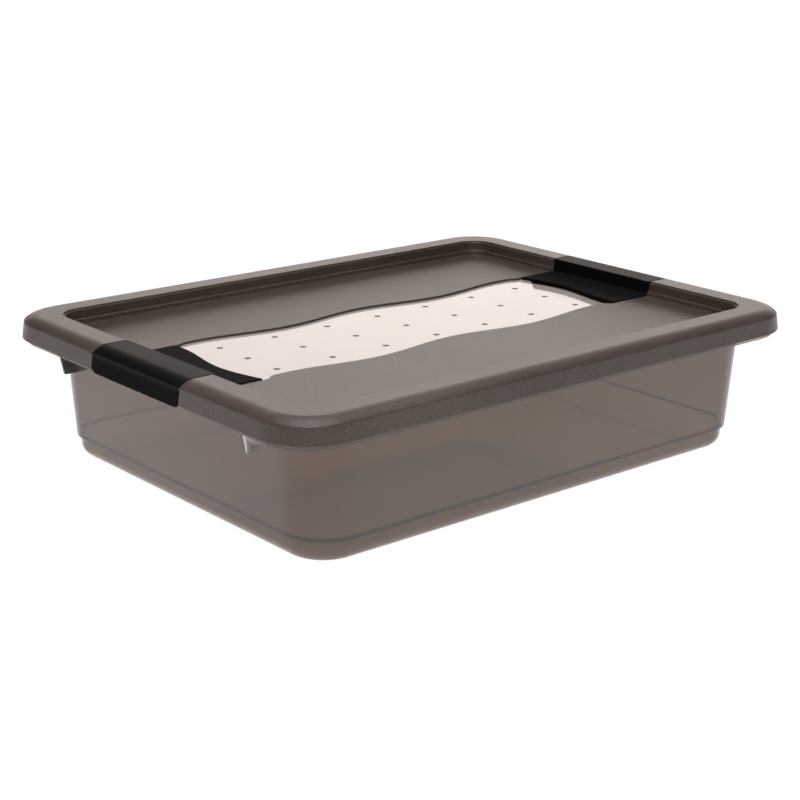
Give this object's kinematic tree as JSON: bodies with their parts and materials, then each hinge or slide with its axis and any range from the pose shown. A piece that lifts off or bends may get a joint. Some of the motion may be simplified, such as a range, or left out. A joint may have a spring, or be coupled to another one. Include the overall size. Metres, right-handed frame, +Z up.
{
  "type": "shallow lidded storage box",
  "caption": "Shallow rounded tray with a lift-off rimmed lid, a waved window over a perforated vent panel, and a hinged clip at each end.",
  "frame": {"origin": "middle of the flat underside of the tray, at table height", "axes": "+X along the length towards the right clip, +Y across the width away from the viewer, +Z up"},
  "size_m": [0.522, 0.3944, 0.118],
  "materials": {
    "smoke_clear_plastic": "clear smoke brown moulded plastic, glossy",
    "frosted_brown_plastic": "frosted smoke brown moulded plastic with a fine grain",
    "pale_vent_plastic": "smooth pale moulded plastic, half gloss",
    "black_clip_plastic": "black moulded plastic, satin"
  },
  "bodies": {
    "tray": {"tray": "smoke_clear_plastic"},
    "lid": {"lid": "frosted_brown_plastic", "vent_panel": "pale_vent_plastic"},
    "clip_left": {"clip_left": "black_clip_plastic"},
    "clip_right": {"clip_right": "black_clip_plastic"}
  },
  "joints": [
    {"name": "lid_lift", "type": "slide", "parent": "tray", "child": "lid", "axis": [0, 0, 1], "range_m": [0, 0.16]},
    {"name": "clip_left_hinge", "type": "hinge", "parent": "tray", "child": "clip_left", "pos_m": [-0.2545, 0, 0.102], "axis": [0, -1, 0], "range_deg": [0, 120]},
    {"name": "clip_right_hinge", "type": "hinge", "parent": "tray", "child": "clip_right", "pos_m": [0.2545, 0, 0.102], "axis": [0, 1, 0], "range_deg": [0, 120]}
  ]
}
